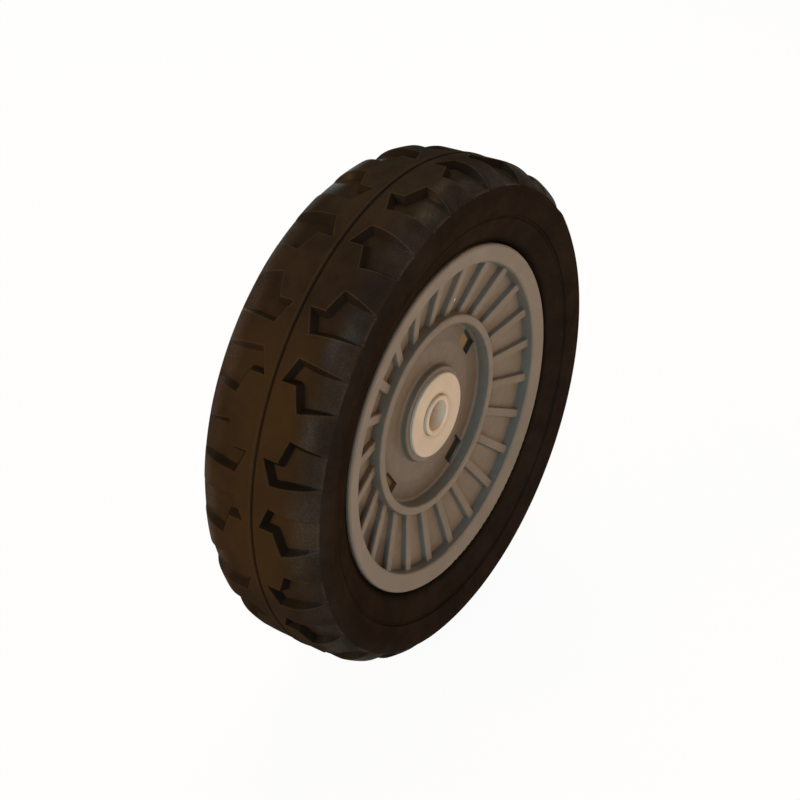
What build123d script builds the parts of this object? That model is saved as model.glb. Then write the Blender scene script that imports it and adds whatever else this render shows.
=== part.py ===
from build123d import *
from math import asin, atan2, cos, degrees, hypot, radians, sin, sqrt
import os

# A garden machine wheel in millimetres: a moulded tyre on a ribbed plastic hub that turns on two
# flanged plastic ball bearings. The axle lies along Y, the outer face looks towards -Y and +Z is up.
# The origin is on the axle, halfway across the tyre. Depths are measured from there towards the
# outer face, so a negative depth is on the inner side.

# Tyre
tyre_diameter = 200.0
tyre_width = 53.8
shoulder_radius = 15.9
shoulder_turn = 74.0
side_lip_fillet = 3.0
bead_side_depth = 19.4
bead_width = 33.0
bead_channel_width = 19.0
tread_wall = 16.0
bead_channel_fillet = 5.0
side_groove_inset = 7.3
side_groove_width = 1.6
mould_line_depth = 1.2
mould_line_width = 1.6
mould_line_height = 0.35

# Tread pockets: two mirrored shapes in turn round each shoulder
pockets_per_side = 24
pocket_floor_drop = 2.8
pocket_floor_flat = 9.0
pocket_runout_depth = 24.8
pocket_tilt = 17.0
pocket_draft = 32.0
pocket_tip_offset = 3.4
pocket_heel_reach = 8.2
pocket_heel_rise = 4.6
pocket_notch_reach = 1.1
pocket_notch_rise = 7.0
pocket_toe_reach = 6.9
pocket_toe_rise = 10.6
pocket_tail_heel_reach = 6.2
pocket_tail_toe_reach = 4.9
pocket_tail_rise = 28.0
pocket_cut_above = 6.0
pocket_cut_below = 3.6

# Hub rim and barrel
barrel_diameter = 132.0
rim_flange_diameter = 140.0
rim_bore_diameter = 125.0
rim_edge_depth = 20.7
rim_bore_depth = 19.2
rim_edge_fillet = 1.0
tyre_to_flange_gap = 0.3

# Hub web, ring, well and boss
panel_rim_depth = 14.2
panel_ring_depth = 8.5
panel_thickness = 2.6
ring_inner_diameter = 74.6
ring_outer_diameter = 81.4
ring_top_depth = 13.2
ring_draft = 0.4
ring_fillet = 0.7
well_floor_depth = 7.5
well_floor_thickness = 2.8
well_fillet = 1.2
boss_height = 3.0
boss_diameter = 39.0
boss_draft = 0.5
boss_fillet = 0.6
tube_bore_diameter = 24.0

# Ribs on both faces of the web
rib_count = 24
rib_first_angle = 3.82
rib_width = 3.8
rib_rim_depth = 16.8
rib_ring_depth = 10.7
rib_height = 3.6
rib_root = 2.0
rib_top_fillet = 0.6
back_rib_count = 6
back_rib_width = 2.4
back_rib_depth = -14.0

# Core slots at the foot of the ring, each under a small catch
slot_count = 4
slot_length = 11.0
slot_width = 6.6
slot_ring_clearance = 0.4
slot_cut_margin = 0.8
catch_reach = 0.6
catch_height = 1.2
catch_lift = 0.5
catch_land = 0.4
catch_turn = 17.0

# Ball bearings
axle_diameter = 12.7
axle_clearance = 0.05
hub_length = 34.9
inner_race_proud = 0.6
inner_race_diameter = 16.8
inner_race_length = 10.5
inner_race_fillet = 0.6
bore_chamfer = 0.5
race_face_gap = 0.2
face_valley_width = 1.7
face_valley_depth = 0.7
race_cover_thickness = 3.1
flange_diameter = 34.8
flange_thickness = 1.4
flange_fillet = 0.7
outer_race_diameter = 31.0
outer_race_length = 9.0
outer_race_land_diameter = 24.0
race_end_gap = 0.2
ball_diameter = 4.76
ball_clearance = 0.06
ball_count = 10
ball_inset = 6.5
spacer_wall = 1.8

# Worked out from the sizes above
tread_radius = tyre_diameter / 2
half_width = tyre_width / 2
crown_half_width = half_width - shoulder_radius * sin(radians(shoulder_turn))
lip_radius = tread_radius - shoulder_radius * (1 - cos(radians(shoulder_turn)))
seat_radius = barrel_diameter / 2
rim_flange_radius = rim_flange_diameter / 2
bead_edge_radius = rim_flange_radius + tyre_to_flange_gap
bead_half_width = bead_width / 2
side_groove_radius = lip_radius - side_groove_inset
channel_radius = tread_radius - tread_wall
channel_half_width = bead_channel_width / 2
rim_bore_radius = rim_bore_diameter / 2
ring_inner_radius = ring_inner_diameter / 2
ring_outer_radius = ring_outer_diameter / 2
boss_radius = boss_diameter / 2
axle_bore_radius = axle_diameter / 2 + axle_clearance
race_seat_radius = outer_race_diameter / 2
flange_radius = flange_diameter / 2
inner_race_radius = inner_race_diameter / 2
outer_race_land_radius = outer_race_land_diameter / 2
boss_front_depth = well_floor_depth + boss_height
flange_face_depth = boss_front_depth + flange_thickness
hub_front_depth = flange_face_depth + inner_race_proud
hub_back_depth = hub_front_depth - hub_length
hub_middle_depth = (hub_front_depth + hub_back_depth) / 2
boss_back_depth = 2 * hub_middle_depth - boss_front_depth
ball_pitch_radius = (inner_race_radius + outer_race_land_radius) / 2
ball_depth = hub_front_depth - ball_inset
track_radius = ball_diameter / 2 + ball_clearance
rib_pitch = 360 / rib_count
tip_pitch = 360 / pockets_per_side
tip_first_angle = rib_first_angle + rib_pitch / 2
slot_first_angle = rib_first_angle + 2 * rib_pitch
back_rib_first_angle = rib_first_angle + 3 * rib_pitch

# The outer face seen from the front, and the half section with radius across and depth upwards
FACE = Plane.XZ
SECTION = Plane(origin=(0, 0, 0), x_dir=(1, 0, 0), z_dir=(0, 0, -1))
# What repeats round the wheel is drawn once with the axle along Z, and then set round on FACE
SPOKE = Plane.XZ
MOULD_LINE = Plane.XY.offset(mould_line_depth)
HUB_MIDDLE = FACE.offset(hub_middle_depth)

os.makedirs("parts", exist_ok=True)


def corners(sketch, *points):
    return [sketch.vertices().sort_by_distance((x, y, 0))[0] for x, y in points]


# The floor that the tread pockets are cut down to: flat under the crown, then falling to the shoulder
runout_fall = shoulder_radius - sqrt(shoulder_radius**2 - (pocket_runout_depth - crown_half_width) ** 2)
floor_radius = tread_radius - pocket_floor_drop
floor_fall = runout_fall - pocket_floor_drop
floor_run = pocket_runout_depth - pocket_floor_flat
floor_arc_radius = (floor_run**2 + floor_fall**2) / (2 * floor_fall)
floor_arc_turn = degrees(asin((half_width - pocket_floor_flat) / floor_arc_radius))

with BuildPart() as tread_floor:
    with BuildSketch(SPOKE):
        with BuildLine():
            Line((floor_radius, 0), (floor_radius, pocket_floor_flat))
            floor_arc_centre = (floor_radius - floor_arc_radius, pocket_floor_flat)
            fall = CenterArc(floor_arc_centre, floor_arc_radius, 0, floor_arc_turn)
            Polyline(fall @ 1, (0, (fall @ 1).Y), (0, 0))
            mirror(about=Plane.XZ)
        make_face()
    revolve(axis=Axis.Z)

# One pocket, drafted on a plane that tilts down from the crown towards the shoulder
pocket_plane = Plane(
    origin=(tread_radius, 0, mould_line_depth + pocket_tip_offset),
    x_dir=(0, 1, 0),
    z_dir=(cos(radians(pocket_tilt)), 0, sin(radians(pocket_tilt))),
)
with BuildPart() as pocket:
    with BuildSketch(pocket_plane) as pocket_outline:
        with BuildLine():
            Polyline(
                (0, 0),
                (-pocket_heel_reach, pocket_heel_rise),
                (-pocket_tail_heel_reach, pocket_tail_rise),
                (pocket_tail_toe_reach, pocket_tail_rise),
                (pocket_toe_reach, pocket_toe_rise),
                (-pocket_notch_reach, pocket_notch_rise),
                close=True,
            )
        make_face()
    extrude(pocket_outline.sketch, amount=pocket_cut_above, taper=-pocket_draft)
    extrude(pocket_outline.sketch, amount=-pocket_cut_below, taper=pocket_draft)

with BuildPart() as right_pair:
    add(pocket.part)
    mirror(pocket.part, about=MOULD_LINE)
    add(tread_floor.part, mode=Mode.SUBTRACT)

with BuildPart() as left_pair:
    mirror(right_pair.part, about=Plane.XZ)

# Tyre: an open channel between its two beads faces the barrel of the hub
side_groove_share = (side_groove_radius - bead_edge_radius) / (lip_radius - bead_edge_radius)
side_groove_depth = bead_side_depth + side_groove_share * (half_width - bead_side_depth)
with BuildPart(FACE) as tyre:
    with BuildSketch(SECTION) as tyre_section:
        with BuildLine():
            Line((tread_radius, 0), (tread_radius, crown_half_width))
            shoulder_centre = (tread_radius - shoulder_radius, crown_half_width)
            shoulder = CenterArc(shoulder_centre, shoulder_radius, 0, shoulder_turn)
            Polyline(
                shoulder @ 1,
                (bead_edge_radius, bead_side_depth),
                (bead_edge_radius, bead_half_width),
                (seat_radius, bead_half_width),
                (seat_radius, channel_half_width),
                (channel_radius, channel_half_width),
                (channel_radius, 0),
            )
            mirror(about=Plane.XZ)
        make_face()
        lips = corners(tyre_section, (lip_radius, half_width), (lip_radius, -half_width))
        fillet(lips, side_lip_fillet)
        channel_corners = corners(
            tyre_section, (channel_radius, channel_half_width), (channel_radius, -channel_half_width)
        )
        fillet(channel_corners, bead_channel_fillet)
        with Locations(
            (side_groove_radius, side_groove_depth), (side_groove_radius, -side_groove_depth)
        ):
            Circle(side_groove_width / 2, mode=Mode.SUBTRACT)
        with BuildLine():
            Polyline(
                (tread_radius - mould_line_height, mould_line_depth - mould_line_width / 2),
                (tread_radius, mould_line_depth - mould_line_width / 2),
                (tread_radius + mould_line_height, mould_line_depth),
                (tread_radius, mould_line_depth + mould_line_width / 2),
                (tread_radius - mould_line_height, mould_line_depth + mould_line_width / 2),
                close=True,
            )
        make_face()
    revolve(axis=Axis.Y)
    with PolarLocations(0, pockets_per_side // 2, start_angle=tip_first_angle):
        add(left_pair.part, mode=Mode.SUBTRACT)
    with PolarLocations(0, pockets_per_side // 2, start_angle=tip_first_angle + tip_pitch):
        add(right_pair.part, mode=Mode.SUBTRACT)
tyre.part.label = "tyre"
export_step(tyre.part, "parts/tyre.step")

# One front rib, with a rounded top that slopes from the rim down to the ring
rib_slope = atan2(rib_rim_depth - rib_ring_depth, rim_bore_radius - ring_outer_radius)
rib_length = hypot(rib_rim_depth - rib_ring_depth, rim_bore_radius - ring_outer_radius)
rib_plane = Plane(
    origin=(ring_outer_radius, 0, rib_ring_depth),
    x_dir=(0, 1, 0),
    z_dir=(cos(rib_slope), 0, sin(rib_slope)),
).offset(-rib_root)
with BuildPart() as rib:
    with BuildSketch(rib_plane) as rib_section:
        Rectangle(rib_width, rib_height, align=(Align.CENTER, Align.MAX))
        fillet(corners(rib_section, (rib_width / 2, 0), (-rib_width / 2, 0)), rib_top_fillet)
    extrude(amount=rib_length + 2 * rib_root)

# One plain back rib, from the tube to the barrel, rooted halfway into the web
floor_back_depth = well_floor_depth - well_floor_thickness
with BuildPart() as back_rib:
    with BuildSketch(SPOKE):
        with BuildLine():
            Polyline(
                (boss_radius - rib_root, back_rib_depth),
                (rim_bore_radius + rib_root, back_rib_depth),
                (rim_bore_radius + rib_root, panel_rim_depth - panel_thickness / 2),
                (rim_bore_radius, panel_rim_depth - panel_thickness / 2),
                (ring_outer_radius, panel_ring_depth - panel_thickness / 2),
                (ring_inner_radius, well_floor_depth - well_floor_thickness / 2),
                (boss_radius - rib_root, well_floor_depth - well_floor_thickness / 2),
                close=True,
            )
        make_face()
    extrude(amount=back_rib_width / 2, both=True)

# One catch on the inner wall of the ring
catch_low_depth = well_floor_depth + catch_lift
with BuildPart() as catch:
    with BuildSketch(SPOKE):
        with BuildLine():
            Polyline(
                (ring_inner_radius + rib_root, catch_low_depth),
                (ring_inner_radius - catch_reach, catch_low_depth),
                (ring_inner_radius - catch_reach, catch_low_depth + catch_land),
                (ring_inner_radius, catch_low_depth + catch_height),
                (ring_inner_radius + rib_root, catch_low_depth + catch_height),
                close=True,
            )
        make_face()
    revolve(axis=Axis.Z, revolution_arc=catch_turn)

# Hub: rim, barrel, web, ring, well and bearing tube in one moulding
slot_radius = ring_inner_radius - ring_draft - slot_ring_clearance - slot_width / 2
with BuildPart(FACE) as hub:
    with BuildSketch(SECTION) as hub_section:
        with BuildLine():
            Polyline(
                (race_seat_radius, boss_front_depth),
                (boss_radius, boss_front_depth),
                (boss_radius + boss_draft, well_floor_depth),
                (ring_inner_radius - ring_draft, well_floor_depth),
                (ring_inner_radius, ring_top_depth),
                (ring_outer_radius, ring_top_depth),
                (ring_outer_radius + ring_draft, panel_ring_depth),
                (rim_bore_radius, panel_rim_depth),
                (rim_bore_radius, rim_bore_depth),
                (rim_flange_radius, rim_edge_depth),
                (rim_flange_radius, bead_half_width),
                (seat_radius, bead_half_width),
                (seat_radius, -bead_half_width),
                (rim_flange_radius, -bead_half_width),
                (rim_flange_radius, -rim_edge_depth),
                (rim_bore_radius, -rim_bore_depth),
                (rim_bore_radius, panel_rim_depth - panel_thickness),
                (ring_outer_radius, panel_ring_depth - panel_thickness),
                (ring_inner_radius, floor_back_depth),
                (boss_radius, floor_back_depth),
                (boss_radius, boss_back_depth),
                (race_seat_radius, boss_back_depth),
                (race_seat_radius, boss_back_depth + outer_race_length + race_end_gap),
                (tube_bore_diameter / 2, boss_back_depth + outer_race_length + race_end_gap),
                (tube_bore_diameter / 2, boss_front_depth - outer_race_length - race_end_gap),
                (race_seat_radius, boss_front_depth - outer_race_length - race_end_gap),
                close=True,
            )
        make_face()
        rim_edges = corners(
            hub_section,
            (rim_flange_radius, rim_edge_depth),
            (rim_bore_radius, rim_bore_depth),
            (rim_flange_radius, -rim_edge_depth),
            (rim_bore_radius, -rim_bore_depth),
        )
        fillet(rim_edges, rim_edge_fillet)
        ring_edges = corners(
            hub_section, (ring_inner_radius, ring_top_depth), (ring_outer_radius, ring_top_depth)
        )
        fillet(ring_edges, ring_fillet)
        well_corners = corners(
            hub_section,
            (boss_radius + boss_draft, well_floor_depth),
            (ring_inner_radius - ring_draft, well_floor_depth),
        )
        fillet(well_corners, well_fillet)
        boss_edges = corners(
            hub_section, (boss_radius, boss_front_depth), (boss_radius, boss_back_depth)
        )
        fillet(boss_edges, boss_fillet)
    revolve(axis=Axis.Y)
    with PolarLocations(0, rib_count, start_angle=rib_first_angle):
        add(rib.part)
    with PolarLocations(0, back_rib_count, start_angle=back_rib_first_angle):
        add(back_rib.part)
    with BuildSketch(FACE.offset(floor_back_depth - slot_cut_margin)):
        with PolarLocations(slot_radius, slot_count, start_angle=slot_first_angle):
            Rectangle(slot_width, slot_length)
    extrude(amount=well_floor_thickness + 2 * slot_cut_margin, mode=Mode.SUBTRACT)
    with PolarLocations(0, slot_count, start_angle=slot_first_angle - catch_turn / 2):
        add(catch.part)
hub.part.label = "hub"
export_step(hub.part, "parts/hub.step")

# Outer race: the flange seats on the boss, and a cover hides the balls up to the gap at the inner race,
# where its face falls into a shallow valley
cover_radius = inner_race_radius + race_face_gap
cover_back_depth = flange_face_depth - race_cover_thickness
race_back_depth = boss_front_depth - outer_race_length
with BuildPart(FACE) as front_outer_race:
    with BuildSketch(SECTION) as outer_race_section:
        with BuildLine():
            Polyline(
                (cover_radius, flange_face_depth - face_valley_depth),
                (cover_radius + face_valley_width, flange_face_depth),
                (flange_radius, flange_face_depth),
                (flange_radius, boss_front_depth),
                (race_seat_radius, boss_front_depth),
                (race_seat_radius, race_back_depth),
                (outer_race_land_radius, race_back_depth),
                (outer_race_land_radius, cover_back_depth),
                (cover_radius, cover_back_depth),
                close=True,
            )
        make_face()
        fillet(corners(outer_race_section, (flange_radius, flange_face_depth)), flange_fillet)
    revolve(axis=Axis.Y)
    with Locations((0, 0, ball_depth)):
        Torus(ball_pitch_radius, track_radius, mode=Mode.SUBTRACT)
front_outer_race.part.label = "front_outer_race"
export_step(front_outer_race.part, "parts/front_outer_race.step")

with BuildPart() as rear_outer_race:
    mirror(front_outer_race.part, about=HUB_MIDDLE)
rear_outer_race.part.label = "rear_outer_race"
export_step(rear_outer_race.part, "parts/rear_outer_race.step")

# Inner race: stands a little proud of the flange, with an eased lead into the axle bore
race_end_depth = hub_front_depth - inner_race_length
with BuildPart(FACE) as front_inner_race:
    with BuildSketch(SECTION) as inner_race_section:
        with BuildLine():
            Polyline(
                (axle_bore_radius, race_end_depth),
                (inner_race_radius, race_end_depth),
                (inner_race_radius, hub_front_depth),
                (axle_bore_radius + bore_chamfer, hub_front_depth),
                (axle_bore_radius, hub_front_depth - bore_chamfer),
                close=True,
            )
        make_face()
        fillet(corners(inner_race_section, (inner_race_radius, hub_front_depth)), inner_race_fillet)
    revolve(axis=Axis.Y)
    with Locations((0, 0, ball_depth)):
        Torus(ball_pitch_radius, track_radius, mode=Mode.SUBTRACT)
front_inner_race.part.label = "front_inner_race"
export_step(front_inner_race.part, "parts/front_inner_race.step")

with BuildPart() as rear_inner_race:
    mirror(front_inner_race.part, about=HUB_MIDDLE)
rear_inner_race.part.label = "rear_inner_race"
export_step(rear_inner_race.part, "parts/rear_inner_race.step")

# Balls of one bearing
with BuildPart(FACE.offset(ball_depth)) as front_balls:
    with PolarLocations(ball_pitch_radius, ball_count):
        Sphere(ball_diameter / 2)
front_balls.part.label = "front_balls"
export_step(front_balls.part, "parts/front_balls.step")

with BuildPart() as rear_balls:
    mirror(front_balls.part, about=HUB_MIDDLE)
rear_balls.part.label = "rear_balls"
export_step(rear_balls.part, "parts/rear_balls.step")

# Spacer sleeve: clamped between the two inner races on the axle
with BuildPart() as spacer_sleeve:
    with BuildSketch(FACE.offset(hub_back_depth + inner_race_length)):
        Circle(axle_bore_radius + spacer_wall)
        Circle(axle_bore_radius, mode=Mode.SUBTRACT)
    extrude(amount=hub_length - 2 * inner_race_length)
spacer_sleeve.part.label = "spacer_sleeve"
export_step(spacer_sleeve.part, "parts/spacer_sleeve.step")
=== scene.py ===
import math

import bmesh
import bpy
import numpy as np
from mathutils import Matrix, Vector
from mathutils.geometry import delaunay_2d_cdt


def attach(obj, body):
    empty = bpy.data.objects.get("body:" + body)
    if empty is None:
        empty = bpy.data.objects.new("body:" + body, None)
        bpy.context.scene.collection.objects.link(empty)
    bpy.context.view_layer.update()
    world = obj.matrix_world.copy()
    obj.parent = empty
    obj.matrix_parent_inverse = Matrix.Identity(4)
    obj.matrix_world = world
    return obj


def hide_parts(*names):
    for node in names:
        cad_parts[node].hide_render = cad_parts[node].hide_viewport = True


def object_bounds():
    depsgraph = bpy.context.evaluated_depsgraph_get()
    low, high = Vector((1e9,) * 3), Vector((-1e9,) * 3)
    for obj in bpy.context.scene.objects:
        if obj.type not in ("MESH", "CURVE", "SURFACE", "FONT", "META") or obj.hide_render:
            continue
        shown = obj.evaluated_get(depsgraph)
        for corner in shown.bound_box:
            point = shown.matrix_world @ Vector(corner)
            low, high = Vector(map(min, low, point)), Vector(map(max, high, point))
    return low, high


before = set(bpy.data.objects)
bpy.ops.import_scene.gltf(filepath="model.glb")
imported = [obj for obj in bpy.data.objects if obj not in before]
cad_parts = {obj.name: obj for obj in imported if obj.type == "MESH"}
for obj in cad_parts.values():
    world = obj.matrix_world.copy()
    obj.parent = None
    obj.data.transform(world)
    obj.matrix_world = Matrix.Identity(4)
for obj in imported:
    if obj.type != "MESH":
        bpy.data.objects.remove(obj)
cad_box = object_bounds()

# Sizes are in millimetres until a mesh is made, and in metres in the materials, the camera and the lamps.
# The axle lies along Y and the outer face looks towards -Y.
MM = 0.001

# Tyre profile and tread, as in the solids
CROWN_RADIUS = 100.0
CROWN_HALF_WIDTH = 11.616
SHOULDER_RADIUS = 15.9
SKIN_TURN = math.radians(66.0)
HALF_WIDTH = 26.9
LIP_RADIUS = 88.483
BEAD_EDGE_RADIUS = 70.3
BEAD_EDGE_DEPTH = 19.4
BEAD_HALF_WIDTH = 16.5
BEAD_RUN = 4.0
BEAD_EASE = 0.7
BEAD_NOSE = ((0.15, -0.25), (0.0, -0.9))
SEAT_RADIUS = 66.0
CHANNEL_RADIUS = 84.0
CHANNEL_HALF_WIDTH = 9.5
CHANNEL_FILLET = 5.0
LIP_EASE = 3.2
GROOVE_RADIUS = 81.2
GROOVE_HALF_WIDTH = 0.8
# Along the side wall and out from it, both in half widths of the groove
GROOVE_SHAPE = (
    (-1.9, 0.0), (-1.45, 0.10), (-1.15, 0.08), (-0.95, -0.25), (-0.6, -0.75),
    (0.0, -0.95), (0.6, -0.75), (0.95, -0.25), (1.15, 0.0), (1.9, 0.0),
)
MOULD_LINE = 1.2
MOULD_LINE_HALF_WIDTH = 0.8
MOULD_LINE_HEIGHT = 0.35
MOULD_LINE_NICK = 0.30
MOULD_LINE_CREST_DEPTH = 0.88
MOULD_LINE_NICK_DEPTH = 1.84
MOULD_LINE_STEPS = (-1.4, -0.9, -0.4, 0.1, 0.45, 0.8, 1.3, 1.8)
SECTORS = 12
SECTOR_ANGLE = math.radians(360 / SECTORS)
SECTOR_MIDDLE = math.radians(18.82)
FLOOR_DROP = 2.8
FLOOR_FLAT = 9.0
FLOOR_ARC_RADIUS = 31.75
RUNOUT_DEPTH = 24.8
WALL_RATE = 1.6
EDGE_SOFTNESS = 0.32
CORNER_SOFTNESS = 0.6

# Spacing of the tyre's mesh. Wall levels are distances inwards from a pocket's outline.
WALL_LEVELS = (-0.32, -0.12, 0.04, 0.22, 0.6, 1.0, 1.4, 1.62, 1.8, 2.0)
WALL_STEP = 1.2
SKIN_COLUMNS = 26
SKIN_ROWS = 60
GRID_ROUND = 1.4
GRID_ACROSS = 0.95
GRID_MARGIN = 0.3
CORNER_STEPS = 4
CORNER_SHARE = 0.4
LIP_STEPS = 8
FILLET_STEPS = 6
TRIANGLE_TOLERANCE = 1e-5
JOIN_DISTANCE = 0.002
SHARP_ANGLE = math.radians(25)

# Where the material paints shade on the pocket walls and highlights along their lips and the creases at the
# run-outs
WALL_TOP_FADE = 0.22
WALL_FOOT_FADE = 0.35
SHALLOW_WALL = 0.2
SHALLOW_FADE = 0.6
LIP_HIGHLIGHT_SETBACK = 0.12
LIP_HIGHLIGHT_HALF_WIDTH = 0.17
CREASE_DEPTH = 0.06
CREASE_INSET = 0.3

# Pocket outlines on the unrolled tread: distance round the tyre, then distance across it
FRONT_POCKET = ((0, 4.6), (-8.9, 8.5), (-6.46, 29.2), (5.03, 29.2), (8.55, 13.8), (0, 10.5))
BACK_POCKET = ((0, -2.2), (-8.9, -6.1), (-6.9, -29.2), (5.4, -29.2), (8.55, -11.4), (0, -8.1))

# Direction, from the axle, of a warm glow painted on the tread: a painted reflection
PAINTED_GLOW_X = -0.966
PAINTED_GLOW_Z = 0.259

# Front of the hub's web between the ribs, and a pale fleck on top of one rib
WEB_RADIUS = 41.0
WEB_DEPTH = 8.5
WEB_SLOPE = 0.265
FLECK = (10.25, -12.54, 46.15)

# White floor, in metres, and how little of its shadow is seen
FLOOR_HALF_SIZE = 3.0
FLOOR_WHITENESS = 0.96


class Value:
    """A shader socket that takes part in Python sums."""

    def __init__(self, finish, socket):
        self.finish = finish
        self.socket = socket

    def sum(self, operation, left, right):
        return self.finish.node("Math", {"operation": operation}, {0: left, 1: right})

    def __add__(self, other):
        return self.sum("ADD", self, other)

    def __radd__(self, other):
        return self.sum("ADD", other, self)

    def __sub__(self, other):
        return self.sum("SUBTRACT", self, other)

    def __rsub__(self, other):
        return self.sum("SUBTRACT", other, self)

    def __mul__(self, other):
        return self.sum("MULTIPLY", self, other)

    def __rmul__(self, other):
        return self.sum("MULTIPLY", other, self)

    def __truediv__(self, other):
        return self.sum("DIVIDE", self, other)

    def __rtruediv__(self, other):
        return self.sum("DIVIDE", other, self)

    def __pow__(self, other):
        return self.sum("POWER", self, other)

    def __abs__(self):
        return self.finish.node("Math", {"operation": "ABSOLUTE"}, {0: self})


class Finish:
    """A node material. Its node method adds any shader node and gives back one output."""

    def __init__(self, name, tree=None):
        if tree is None:
            self.material = bpy.data.materials.new(name)
            self.material.use_nodes = True
            tree = self.material.node_tree
        self.tree = tree
        self.tree.nodes.clear()

    def node(self, kind, settings=None, inputs=None, out=0):
        made = self.tree.nodes.new("ShaderNode" + kind)
        for key, value in (settings or {}).items():
            setattr(made, key, value)
        for key, value in (inputs or {}).items():
            socket = self.find(made.inputs, key)
            if isinstance(value, Value):
                self.tree.links.new(value.socket, socket)
            else:
                socket.default_value = value
        return Value(self, self.find(made.outputs, out)) if made.outputs else None

    @staticmethod
    def find(sockets, key):
        if isinstance(key, int):
            return [s for s in sockets if s.enabled][key]
        return next(s for s in sockets if s.enabled and s.name == key)

    def place(self, axis):
        """One coordinate of the surface point, in metres."""
        coordinates = self.node("TexCoord", out="Object")
        return self.node("SeparateXYZ", inputs={0: coordinates}, out=axis)

    def attribute(self, name):
        """A number that the mesh holds at each point."""
        return self.node("Attribute", {"attribute_name": name}, out="Fac")

    def noise(self, size_mm, detail, roughness=0.55):
        """Cloudy variation between 0 and 1, with blots of about the given size."""
        inputs = {
            "Vector": self.node("TexCoord", out="Object"),
            "Scale": 1 / (size_mm * MM),
            "Detail": detail,
            "Roughness": roughness,
        }
        return self.node("TexNoise", inputs=inputs)

    def ramp(self, value, low, high):
        """0 below low, 1 above high, eased in between."""
        settings = {"interpolation_type": "SMOOTHSTEP"}
        return self.node("MapRange", settings, {"Value": value, "From Min": low, "From Max": high})

    def mix(self, share, colour_a, colour_b):
        inputs = {"Factor": share, "A": colour_a, "B": colour_b}
        return self.node("Mix", {"data_type": "RGBA"}, inputs, out="Result")

    def bump(self, height, depth_mm):
        return self.node("Bump", None, {"Height": height, "Distance": depth_mm * MM, "Strength": 1.0})

    def surface(self, **sockets):
        inputs = {key.replace("_", " "): value for key, value in sockets.items()}
        shader = self.node("BsdfPrincipled", None, inputs)
        self.node("OutputMaterial", None, {"Surface": shader})
        return self.material


def tyre_rubber():
    """Near-black rubber with brown dust on the tread. Painted into its colour: a warm glow on the tread, a
    grey sheen on the shoulders over a real coat, highlights on the pocket lips and the mould line, and
    shade on the pocket walls, in the nick and at the bead gap.
    """
    f = Finish("tyre_rubber")
    x, y, z = f.place("X"), f.place("Y"), f.place("Z")
    radius = (x * x + z * z) ** 0.5
    across = abs(y)
    outer = f.ramp(radius, 0.0895, 0.0910)
    tread = f.ramp(y, -0.0235, -0.0115) * (1 - f.ramp(y, 0.0225, 0.0255)) * outer
    shoulder = f.ramp(across, 0.0140, 0.0195) * (1 - f.ramp(across, 0.0246, 0.0250)) * outer
    cloud = f.noise(22.0, 3.0)
    smear = f.noise(6.0, 4.0, 0.65)
    grain = f.noise(0.6, 2.0, 0.6)
    dusty = f.ramp(cloud * 0.6 + smear * 0.4, 0.36, 0.66)
    colour = f.mix(dusty, (0.0140, 0.0115, 0.0098, 1), (0.0225, 0.0180, 0.0150, 1))
    # A warm glow painted on the tread towards one side: a painted reflection, added to the real brown dust.
    painted_glow = f.ramp((PAINTED_GLOW_X * x + PAINTED_GLOW_Z * z) / radius, 0.78, 0.98) * (1 - 0.6 * f.ramp(y, 0.002, 0.012))
    colour = f.mix(tread * (0.12 + 0.26 * dusty + 0.58 * painted_glow), colour, (0.0310, 0.0196, 0.0100, 1))
    # A grey sheen painted into the colour on the shoulders, stronger in the glow; the same share also sets
    # the real coat.
    sheen = shoulder * (0.38 + 0.62 * f.ramp(grain, 0.36, 0.66)) * (0.35 + 0.65 * f.ramp(cloud, 0.40, 0.62))
    colour = f.mix(sheen * (0.06 + 0.30 * painted_glow), colour, (0.052, 0.045, 0.034, 1))
    # A painted highlight on the crest of the mould line and painted shade in its nick.
    nick = 1 - f.ramp(abs(y + MOULD_LINE_NICK_DEPTH * MM), 0.0002, 0.0006)
    crest_highlight = 1 - f.ramp(abs(y + MOULD_LINE_CREST_DEPTH * MM), 0.0002, 0.0006)
    outside = f.ramp(radius, 0.0985, 0.0992)
    colour = f.mix(crest_highlight * outside * 0.5, colour, (0.040, 0.029, 0.019, 1))
    colour = f.mix(nick * outside * 0.7, colour, (0.0040, 0.0032, 0.0026, 1))
    # Painted shade on the pocket walls, weaker on the back half and near the top and bottom, where light
    # falls on them.
    front = 1 - 0.45 * f.ramp(y, 0.0, 0.006)
    lit_ends = f.ramp(abs(z), 0.045, 0.070)
    colour = f.mix(f.attribute("wall") * front * (0.85 - 0.35 * lit_ends), colour, (0.0046, 0.0043, 0.0041, 1))
    # A painted highlight along the pocket lips and run-out creases, stronger near the top and bottom.
    lip_highlight = f.attribute("edge") * (0.2 + 0.8 * smear) * front
    colour = f.mix(lip_highlight * (0.45 + 0.45 * lit_ends), colour, (0.072, 0.055, 0.038, 1))
    # Painted shadow on the side wall next to the rim, in the gap at the bead.
    bead_gap_shadow = 1 - f.ramp(radius, 0.0706, 0.0738)
    colour = f.mix(bead_gap_shadow * 0.8, colour, (0.0026, 0.0022, 0.0019, 1))
    fine = f.bump(grain * (0.15 + 0.85 * shoulder) + 0.4 * smear, 0.12)
    return f.surface(
        Base_Color=colour,
        Roughness=0.70 + 0.2 * smear,
        Normal=fine,
        Specular_IOR_Level=0.0,
        Coat_Weight=0.010 + 0.16 * sheen,
        Coat_Roughness=0.30,
    )


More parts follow.
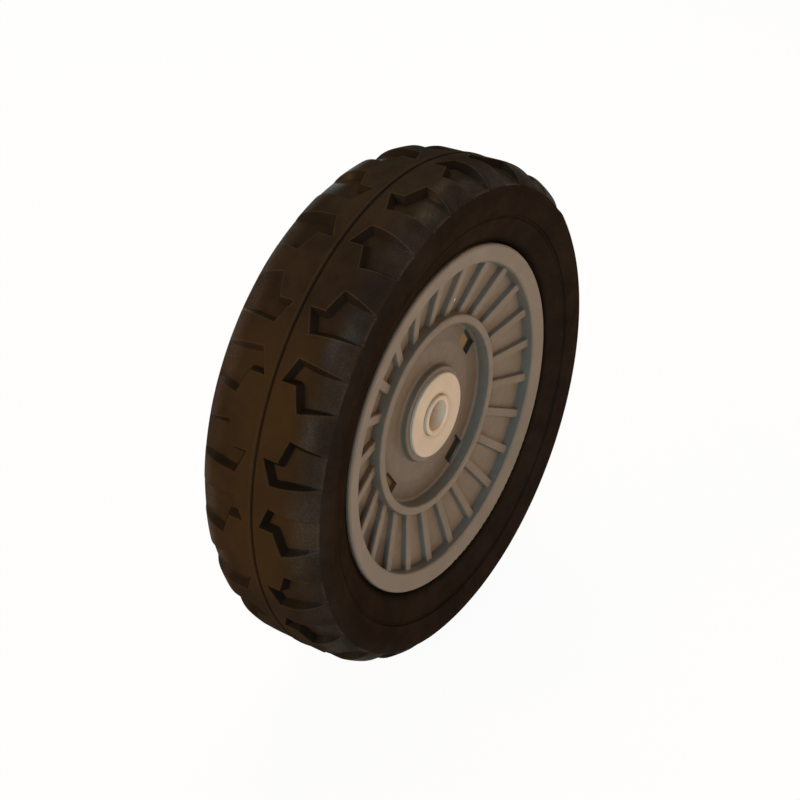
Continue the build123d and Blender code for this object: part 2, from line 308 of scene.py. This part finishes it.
def hub_plastic():
    """Grey plastic with a faint flow pattern and darker blots deep in the web; painted shade in the well,
    the rim corners and the slots, a painted rim shadow on the web, and a pale fleck.
    """
    f = Finish("hub_plastic")
    x, y, z = f.place("X"), f.place("Y"), f.place("Z")
    radius = (x * x + z * z) ** 0.5
    cloud = f.noise(16.0, 3.0)
    smear = f.noise(3.2, 4.0, 0.6)
    grain = f.noise(0.5, 2.0)
    colour = f.mix(f.ramp(cloud, 0.35, 0.7), (0.159, 0.150, 0.131, 1), (0.182, 0.171, 0.149, 1))
    # Darker blots on everything deeper than the front of the web, inside the rim.
    low = f.ramp(y, -0.0165, -0.0085) * (1 - f.ramp(radius, 0.0605, 0.0630))
    colour = f.mix(low * f.ramp(smear, 0.30, 0.70) * 0.5, colour, (0.120, 0.110, 0.095, 1))
    # Painted shade in the well inside the ring.
    well = f.ramp(y, -0.0122, -0.0090) * (1 - f.ramp(radius, 0.0368, 0.0376))
    colour = f.mix(well * 0.45, colour, (0.100, 0.084, 0.062, 1))
    above_web = 0 - y - (WEB_DEPTH * MM + WEB_SLOPE * (radius - WEB_RADIUS * MM))
    in_front = f.ramp(above_web, -0.0012, -0.0006)
    # Painted shade in the corners between the web and the rim, stronger on the left.
    corner = f.ramp(radius, 0.0590, 0.0624) * f.ramp(y, -0.0178, -0.0150) * in_front
    left = 1 - f.ramp(x, -0.03, 0.02)
    colour = f.mix(corner * (0.3 + 0.7 * smear) * (0.25 + 0.5 * left), colour, (0.040, 0.034, 0.027, 1))
    # Painted shadow of the rim on the outer end of the web, on the left only.
    rim_shadow = (1 - f.ramp(above_web, 0.0006, 0.0017)) * in_front
    rim_shadow = rim_shadow * f.ramp(radius, 0.0470, 0.0545) * (1 - f.ramp(x, -0.046, -0.028))
    colour = f.mix(rim_shadow * 0.7, colour, (0.028, 0.024, 0.020, 1))
    away = ((x - FLECK[0] * MM) ** 2 + (y - FLECK[1] * MM) ** 2 + (z - FLECK[2] * MM) ** 2) ** 0.5
    colour = f.mix(1 - f.ramp(away, 0.0003, 0.0007), colour, (0.85, 0.82, 0.76, 1))
    # Painted shade in the slots, in a band round the ring at their depth.
    slot_shade = f.ramp(y, -0.0077, -0.0070) * (1 - f.ramp(y, -0.0056, -0.0050))
    slot_shade = slot_shade * f.ramp(radius, 0.0280, 0.0290) * (1 - f.ramp(radius, 0.0372, 0.0380))
    colour = f.mix(slot_shade * 0.85, colour, (0.026, 0.021, 0.015, 1))
    roughness = 0.40 + 0.14 * smear
    relief = f.bump(grain * 0.5 + smear * 0.5, 0.05)
    return f.surface(Base_Color=colour, Roughness=roughness, Normal=relief, Specular_IOR_Level=0.25)


def bearing_plastic():
    """Smooth off-white plastic, yellowed on its face, with painted shade in the groove and painted light
    brightening the bore.
    """
    f = Finish("bearing_plastic")
    x, y, z = f.place("X"), f.place("Y"), f.place("Z")
    radius = (x * x + z * z) ** 0.5
    cloud = f.noise(7.0, 3.0)
    smear = f.noise(1.4, 3.0, 0.6)
    # Painted shade in the groove on the face.
    groove = f.ramp(radius, 0.0083, 0.0088) * (1 - f.ramp(radius, 0.0094, 0.0099))
    # The bore is painted far brighter than the face: painted light on its walls.
    painted_bore_light = 1 - f.ramp(radius, 0.0065, 0.0070)
    colour = f.mix(f.ramp(cloud, 0.3, 0.7), (0.485, 0.465, 0.405, 1), (0.530, 0.512, 0.450, 1))
    colour = f.mix(groove * 0.3, colour, (0.39, 0.365, 0.300, 1))
    colour = f.mix(painted_bore_light, colour, (0.82, 0.70, 0.58, 1))
    roughness = 0.30 + 0.14 * smear
    relief = f.bump(smear, 0.03)
    return f.surface(Base_Color=colour, Roughness=roughness, Normal=relief)


def ball_steel():
    """Plain bright steel with a fine turned grain."""
    f = Finish("ball_steel")
    smear = f.noise(0.9, 3.0)
    colour = f.mix(smear, (0.42, 0.42, 0.43, 1), (0.56, 0.56, 0.57, 1))
    return f.surface(Base_Color=colour, Roughness=0.22 + 0.16 * smear, Metallic=1.0)


def soft_max(values, edge):
    """max(values, 0), rounded over edge either side."""
    inner = (values + edge) ** 2 / (4 * edge)
    return np.where(values <= -edge, 0.0, np.where(values >= edge, values, inner))


def skin_frame(across):
    """Radius, depth and outward normal of the tread skin at a distance across it."""
    side = np.sign(across)
    turn = np.maximum(np.abs(across) - CROWN_HALF_WIDTH, 0) / SHOULDER_RADIUS
    radius = CROWN_RADIUS - SHOULDER_RADIUS + SHOULDER_RADIUS * np.cos(turn)
    flat = np.minimum(np.abs(across), CROWN_HALF_WIDTH)
    depth = side * (flat + SHOULDER_RADIUS * np.sin(turn))
    return radius, depth, np.cos(turn), side * np.sin(turn)


def floor_depth(across):
    """How far the pocket floor lies under the skin, along the skin's normal. Negative past its run-out."""
    radius, depth, out_radius, out_depth = skin_frame(across)
    flat = CROWN_RADIUS - FLOOR_DROP
    centre_radius = flat - FLOOR_ARC_RADIUS
    start_radius = radius - centre_radius
    start_depth = np.abs(depth) - FLOOR_FLAT
    along = out_radius * start_radius + np.abs(out_depth) * start_depth
    square = start_radius**2 + start_depth**2 - FLOOR_ARC_RADIUS**2
    arc = along - np.sqrt(np.maximum(along**2 - square, 0))
    return np.where(np.abs(depth) <= FLOOR_FLAT, FLOOR_DROP, arc)


def inset(outline, amount):
    """The outline moved inwards by amount, with mitred corners."""
    points = [Vector(p) for p in outline]
    count = len(points)
    area = sum(points[i - 1].cross(points[i]) for i in range(count))
    turn = 1 if area > 0 else -1
    moved = []
    for i in range(count):
        before = (points[i] - points[i - 1]).normalized()
        after = (points[(i + 1) % count] - points[i]).normalized()
        normal_a = Vector((-before.y, before.x)) * turn
        normal_b = Vector((-after.y, after.x)) * turn
        moved.append(points[i] + (normal_a + normal_b) * (amount / (1 + normal_a.dot(normal_b))))
    return moved


def soften(points, radius):
    """The outline with its corners turned into small curves."""
    made = []
    count = len(points)
    for i in range(count):
        corner = points[i]
        before = points[i - 1] - corner
        after = points[(i + 1) % count] - corner
        start = corner + before.normalized() * min(radius, before.length * CORNER_SHARE)
        end = corner + after.normalized() * min(radius, after.length * CORNER_SHARE)
        for k in range(CORNER_STEPS + 1):
            t = k / CORNER_STEPS
            made.append(start * (1 - t) ** 2 + corner * (2 * t * (1 - t)) + end * t**2)
    return made


def divide(points, step):
    """The closed outline with points no further apart than step."""
    made = []
    for i in range(len(points)):
        start, end = points[i], points[(i + 1) % len(points)]
        parts = max(1, math.ceil((end - start).length / step))
        made += [start.lerp(end, k / parts) for k in range(parts)]
    return made


def inside(outline, x, y):
    """Which of the points lie inside the outline."""
    found = np.zeros(len(x), bool)
    count = len(outline)
    for i in range(count):
        (ax, ay), (bx, by) = outline[i - 1], outline[i]
        if ay == by:
            continue
        crosses = (ay > y) != (by > y)
        found ^= crosses & (x < (bx - ax) * (y - ay) / (by - ay) + ax)
    return found


def distance_in(outline, x, y):
    """How far the points lie inside the outline. Negative outside it."""
    nearest = np.full(len(x), np.inf)
    for i in range(len(outline)):
        start, end = Vector(outline[i - 1]), Vector(outline[i])
        run = end - start
        share = ((x - start.x) * run.x + (y - start.y) * run.y) / run.length_squared
        share = np.clip(share, 0, 1)
        nearest = np.minimum(nearest, np.hypot(x - start.x - share * run.x, y - start.y - share * run.y))
    return np.where(inside(outline, x, y), nearest, -nearest)


def sunk_depth(level, across):
    """Depth of the tread surface under the skin: a drafted wall down to the floor, with eased edges."""
    wall = soft_max(WALL_RATE * level, EDGE_SOFTNESS)
    floor = np.maximum(floor_depth(across), 0)
    return np.maximum(floor - soft_max(floor - wall, EDGE_SOFTNESS), 0)


def wall_share(level, across):
    """1 on the drafted walls of the pockets, 0 on the tread and on their floors."""
    floor = np.maximum(floor_depth(across), 0)
    under_edge = np.clip(level / WALL_TOP_FADE, 0, 1)
    over_floor = np.clip((floor - WALL_RATE * level) / WALL_FOOT_FADE + 1, 0, 1)
    return under_edge * over_floor * np.clip((floor - SHALLOW_WALL) / SHALLOW_FADE, 0, 1)


def highlight_line_share(level, across):
    """1 along the lip of a pocket and along the crease where its floor runs out."""
    floor = floor_depth(across)
    lip = np.clip(1 - np.abs(level + LIP_HIGHLIGHT_SETBACK) / LIP_HIGHLIGHT_HALF_WIDTH, 0, 1)
    lip = lip * np.clip(floor / SHALLOW_FADE, 0, 1)
    crease = np.clip(1 - np.abs(floor) / CREASE_DEPTH, 0, 1) * (level > CREASE_INSET)
    return np.maximum(lip, crease)


def mould_line(across):
    """A fine ridge round the crown with a nick along its outer side."""
    ridge = np.clip(1 - np.abs(across - MOULD_LINE_CREST_DEPTH) / MOULD_LINE_HALF_WIDTH, 0, 1)
    nick = np.clip(1 - np.abs(across - MOULD_LINE_NICK_DEPTH) / MOULD_LINE_HALF_WIDTH, 0, 1)
    return MOULD_LINE_HEIGHT * ridge - MOULD_LINE_NICK * nick


def tread_skin():
    """One sector of the tread: points round and across, height, wall and edge shares, and triangles."""
    half = CROWN_RADIUS * SECTOR_ANGLE / 2
    end = CROWN_HALF_WIDTH + SHOULDER_RADIUS * SKIN_TURN
    runout_turn = math.asin((RUNOUT_DEPTH - CROWN_HALF_WIDTH) / SHOULDER_RADIUS)
    runout = CROWN_HALF_WIDTH + SHOULDER_RADIUS * runout_turn
    columns = np.linspace(-half, half, SKIN_COLUMNS + 1)
    rows = np.linspace(-end, end, SKIN_ROWS + 1)
    points, edges = [], []

    def chain(new, closed=False):
        first = len(points)
        points.extend(new)
        last = len(points) - 1
        edges.extend((k, k + 1) for k in range(first, last))
        if closed:
            edges.append((last, first))

    for side in (-half, half):
        chain([Vector((side, y)) for y in rows[1:-1]])
    line_rows = [MOULD_LINE + step * MOULD_LINE_HALF_WIDTH for step in MOULD_LINE_STEPS]
    for across in (-end, -runout, *line_rows, runout, end):
        chain([Vector((x, across)) for x in columns])
    pockets, grown, shrunk = [], [], []
    for outline in (FRONT_POCKET, BACK_POCKET):
        for hand in (-1, 1):
            placed = [(hand * x + hand * half / 2, y) for x, y in outline]
            pockets.append(placed)
            grown.append(inset(placed, WALL_LEVELS[0] - GRID_MARGIN))
            shrunk.append(inset(placed, WALL_LEVELS[-1] + GRID_MARGIN))
            for level in WALL_LEVELS:
                chain(divide(soften(inset(placed, level), CORNER_SOFTNESS), WALL_STEP), closed=True)
    grid_x, grid_y = np.meshgrid(
        np.arange(-half + GRID_ROUND, half - GRID_ROUND / 2, GRID_ROUND),
        np.arange(-end + GRID_ACROSS, end - GRID_ACROSS / 2, GRID_ACROSS),
    )
    grid_x, grid_y = grid_x.ravel(), grid_y.ravel()
    free = np.abs(grid_y - MOULD_LINE) > 2 * MOULD_LINE_HALF_WIDTH
    free &= np.abs(np.abs(grid_y) - runout) > GRID_ACROSS / 3
    near = np.any([inside(outline, grid_x, grid_y) for outline in grown], axis=0)
    low = np.any([inside(outline, grid_x, grid_y) for outline in shrunk], axis=0)
    free &= low | ~near
    points += [Vector((x, y)) for x, y in zip(grid_x[free], grid_y[free])]
    places, _, faces, _, _, _ = delaunay_2d_cdt(points, edges, [], 0, TRIANGLE_TOLERANCE)
    around = np.array([p.x for p in places])
    across = np.array([p.y for p in places])
    level = np.max([distance_in(outline, around, across) for outline in pockets], axis=0)
    lift = mould_line(across) - sunk_depth(level, across)
    shares = {"wall": wall_share(level, across), "edge": highlight_line_share(level, across)}
    return around, across, lift, shares, [tuple(face) for face in faces], columns


def side_profile():
    """Radius and depth from the end of the front shoulder, over the beads, to the end of the back one."""
    start = Vector(
        (CROWN_RADIUS - SHOULDER_RADIUS + SHOULDER_RADIUS * math.cos(SKIN_TURN),
         CROWN_HALF_WIDTH + SHOULDER_RADIUS * math.sin(SKIN_TURN))
    )
    bead = Vector((BEAD_EDGE_RADIUS, BEAD_EDGE_DEPTH))
    lip = Vector((LIP_RADIUS, HALF_WIDTH))
    wall = (bead - lip).normalized()
    along = (lip.x - GROOVE_RADIUS) / -wall.x
    middle = lip + wall * along
    out = Vector((wall.y, -wall.x))
    out = out if out.y > 0 else -out
    lip_in = lip + wall * LIP_EASE
    made = [start]
    for k in range(1, LIP_STEPS + 1):
        t = k / LIP_STEPS
        made.append(start * (1 - t) ** 2 + lip * (2 * t * (1 - t)) + lip_in * t**2)
    for part, rise in GROOVE_SHAPE:
        made.append(middle + wall * (part * GROOVE_HALF_WIDTH) + out * (rise * GROOVE_HALF_WIDTH))
    made += [bead - wall * BEAD_RUN, bead - wall * BEAD_EASE]
    made += [bead + Vector(step) for step in BEAD_NOSE]
    made += [
        Vector((BEAD_EDGE_RADIUS, BEAD_HALF_WIDTH)),
        Vector((SEAT_RADIUS, BEAD_HALF_WIDTH)),
        Vector((SEAT_RADIUS, CHANNEL_HALF_WIDTH)),
    ]
    for k in range(FILLET_STEPS + 1):
        angle = math.radians(90 * k / FILLET_STEPS)
        radius = CHANNEL_RADIUS - CHANNEL_FILLET + CHANNEL_FILLET * math.sin(angle)
        depth = CHANNEL_HALF_WIDTH - CHANNEL_FILLET + CHANNEL_FILLET * math.cos(angle)
        made.append(Vector((radius, depth)))
    mirrored = [Vector((p.x, -p.y)) for p in reversed(made)]
    return made + mirrored


def tyre_sector():
    """One sector of the whole tyre as a mesh, with the wall and edge shares as attributes."""
    around, across, lift, shares, faces, columns = tread_skin()
    radius, depth, out_radius, out_depth = skin_frame(across)
    rows = [(radius + lift * out_radius, depth + lift * out_depth, around)]
    first = len(around)
    profile = side_profile()
    width = len(columns)
    for point in profile:
        rows.append((np.full(width, point.x), np.full(width, point.y), columns))
    for i in range(len(profile) - 1):
        for k in range(width - 1):
            a = first + i * width + k
            faces.append((a, a + 1, a + 1 + width, a + width))
    radius, depth, around = (np.concatenate([row[k] for row in rows]) for k in range(3))
    angle = SECTOR_MIDDLE + around / CROWN_RADIUS
    points = np.stack([radius * np.cos(angle), -depth, radius * np.sin(angle)], axis=1) * MM
    mesh = bpy.data.meshes.new("tyre_sector")
    mesh.from_pydata(points.tolist(), [], faces)
    for name, share in shares.items():
        values = np.zeros(len(points), np.float32)
        values[:first] = share
        mesh.attributes.new(name, "FLOAT", "POINT").data.foreach_set("value", values)
    made = bpy.data.objects.new("tyre_sector", mesh)
    bpy.context.collection.objects.link(made)
    return made


def round_the_axle():
    """A tree that sets copies of its geometry round the axle, joins them and gives them a material."""
    tree = bpy.data.node_groups.new("round_the_axle", "GeometryNodeTree")
    face = tree.interface
    face.new_socket("Geometry", in_out="INPUT", socket_type="NodeSocketGeometry")
    face.new_socket("Copies", in_out="INPUT", socket_type="NodeSocketInt")
    face.new_socket("Join Distance", in_out="INPUT", socket_type="NodeSocketFloat")
    face.new_socket("Finish", in_out="INPUT", socket_type="NodeSocketMaterial")
    face.new_socket("Geometry", in_out="OUTPUT", socket_type="NodeSocketGeometry")

    def add(kind, links):
        made = tree.nodes.new(kind)
        for key, value in links.items():
            if hasattr(value, "is_linked"):
                tree.links.new(value, made.inputs[key])
            else:
                made.inputs[key].default_value = value
        return made

    given = tree.nodes.new("NodeGroupInput").outputs
    index = tree.nodes.new("GeometryNodeInputIndex").outputs[0]
    share = tree.nodes.new("ShaderNodeMath")
    share.operation = "DIVIDE"
    tree.links.new(index, share.inputs[0])
    tree.links.new(given["Copies"], share.inputs[1])
    angle = tree.nodes.new("ShaderNodeMath")
    angle.operation = "MULTIPLY"
    tree.links.new(share.outputs[0], angle.inputs[0])
    angle.inputs[1].default_value = math.tau
    turn = add("ShaderNodeCombineXYZ", {"Y": angle.outputs[0]})
    points = add("GeometryNodePoints", {"Count": given["Copies"]})
    copies = add(
        "GeometryNodeInstanceOnPoints",
        {"Points": points.outputs[0], "Instance": given["Geometry"], "Rotation": turn.outputs[0]},
    )
    real = add("GeometryNodeRealizeInstances", {"Geometry": copies.outputs[0]})
    joined = add(
        "GeometryNodeMergeByDistance",
        {"Geometry": real.outputs[0], "Distance": given["Join Distance"]},
    )
    dressed = add("GeometryNodeSetMaterial", {"Geometry": joined.outputs[0], "Material": given["Finish"]})
    out = tree.nodes.new("NodeGroupOutput")
    tree.links.new(dressed.outputs[0], out.inputs[0])
    return tree


def made_round(piece, name, tree, copies, finish):
    """Runs the tree on a piece and gives back the result as a plain mesh object with outward faces."""
    modifier = piece.modifiers.new("round", "NODES")
    modifier.node_group = tree
    keys = {s.name: s.identifier for s in tree.interface.items_tree if s.in_out == "INPUT"}
    modifier[keys["Copies"]] = copies
    modifier[keys["Join Distance"]] = JOIN_DISTANCE * MM
    modifier[keys["Finish"]] = finish
    graph = bpy.context.evaluated_depsgraph_get()
    made = piece.evaluated_get(graph)
    mesh = bpy.data.meshes.new_from_object(made, preserve_all_data_layers=True, depsgraph=graph)
    bpy.data.objects.remove(piece)
    mesh.name = name
    work = bmesh.new()
    work.from_mesh(mesh)
    bmesh.ops.recalc_face_normals(work, faces=work.faces)
    work.to_mesh(mesh)
    work.free()
    mesh.shade_smooth()
    mesh.set_sharp_from_angle(angle=SHARP_ANGLE)
    made = bpy.data.objects.new(name, mesh)
    bpy.context.collection.objects.link(made)
    return made


def dress(node, finish):
    """Gives a node of the frame its material."""
    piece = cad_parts[node]
    piece.data.materials.clear()
    piece.data.materials.append(finish)


def photo_camera():
    """The camera of the photograph, from a fit to the outline and the rings of the hub."""
    azimuth, elevation, away = math.radians(-56.53), math.radians(32.46), 0.50878
    level = math.cos(elevation)
    back = Vector((math.sin(azimuth) * level, -math.cos(azimuth) * level, math.sin(elevation)))
    data = bpy.data.cameras.new("camera")
    data.lens = 58.464
    data.sensor_width = 36.0
    data.shift_x = -0.0180
    data.shift_y = 0.0089
    data.clip_start = 0.01
    camera = bpy.data.objects.new("camera", data)
    bpy.context.collection.objects.link(camera)
    camera.location = Vector((0, -MOULD_LINE * MM, 0)) + back * away
    camera.rotation_mode = "QUATERNION"
    camera.rotation_quaternion = (-back).to_track_quat("-Z", "Y")
    bpy.context.scene.camera = camera


def seen_rays(f):
    """1 for rays that show the background: straight from the camera, mirrored or through glass."""
    camera = f.node("LightPath", out="Is Camera Ray")
    mirrored = f.node("LightPath", out="Is Glossy Ray")
    through = f.node("LightPath", out="Is Transmission Ray")
    return f.node("Math", {"operation": "ADD", "use_clamp": True}, {0: camera + mirrored, 1: through})


def pale_floor():
    """A white floor under the tread that keeps a soft shadow."""
    f = Finish("pale_floor")
    seen = seen_rays(f)
    pale = f.node("BsdfDiffuse", None, {"Color": (0.86, 0.86, 0.86, 1)})
    white = f.node("Emission", None, {"Color": (1, 1, 1, 1), "Strength": 1.0})
    both = f.node("MixShader", None, {0: seen * FLOOR_WHITENESS, 1: pale, 2: white})
    f.node("OutputMaterial", None, {"Surface": both})
    size = FLOOR_HALF_SIZE
    level = cad_box[0].z
    mesh = bpy.data.meshes.new("floor")
    corners = [(-size, -size, level), (size, -size, level), (size, size, level), (-size, size, level)]
    mesh.from_pydata(corners, [], [(0, 1, 2, 3)])
    mesh.materials.append(f.material)
    floor = bpy.data.objects.new("floor", mesh)
    bpy.context.collection.objects.link(floor)


def studio_lights():
    """Soft lamps: warm in front and on top, cool on the left and behind, amber at the back left."""
    lamps = (
        ("warm_front", (0.10, -1.16, 0.28), 0.7, 7.0, (1.0, 0.48, 0.16)),
        ("cool_left", (-1.05, -0.50, 0.12), 0.6, 3.1, (0.57, 0.87, 1.0)),
        ("cool_high", (-0.75, -0.25, 0.90), 0.55, 3.3, (0.42, 0.78, 1.0)),
        ("amber_back", (-0.97, 0.60, 0.40), 0.7, 12.9, (1.0, 0.51, 0.10)),
        ("warm_top", (0.62, 0.35, 0.98), 0.9, 11.0, (1.0, 0.78, 0.46)),
        ("cool_back", (0.90, 1.00, 0.10), 0.9, 5.5, (0.60, 0.85, 1.0)),
    )
    for name, place, size, power, colour in lamps:
        data = bpy.data.lights.new(name, "AREA")
        data.shape = "DISK"
        data.size = size
        data.energy = power
        data.color = colour
        lamp = bpy.data.objects.new(name, data)
        bpy.context.collection.objects.link(lamp)
        lamp.location = place
        lamp.rotation_mode = "QUATERNION"
        lamp.rotation_quaternion = (-Vector(place)).to_track_quat("-Z", "Y")
    world = bpy.data.worlds.new("surround")
    bpy.context.scene.world = world
    world.use_nodes = True
    f = Finish("surround", world.node_tree)
    seen = seen_rays(f)
    surround = f.node("Background", None, {"Color": (0.90, 0.90, 0.92, 1), "Strength": 0.05})
    white = f.node("Background", None, {"Color": (1, 1, 1, 1), "Strength": 1.0})
    both = f.node("MixShader", None, {0: seen, 1: surround, 2: white})
    f.node("OutputWorld", None, {"Surface": both})


photo_camera()
pale_floor()
studio_lights()

rubber = tyre_rubber()
plastic = hub_plastic()
white_plastic = bearing_plastic()
steel = ball_steel()

tyre = made_round(tyre_sector(), "tyre_moulding", round_the_axle(), SECTORS, rubber)
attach(tyre, "wheel")
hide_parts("tyre")

dress("hub", plastic)
for race in ("front_outer_race", "rear_outer_race", "front_inner_race", "rear_inner_race"):
    dress(race, white_plastic)
for hidden in ("front_balls", "rear_balls", "spacer_sleeve"):
    dress(hidden, steel)

bpy.context.scene.view_settings.view_transform = "Standard"
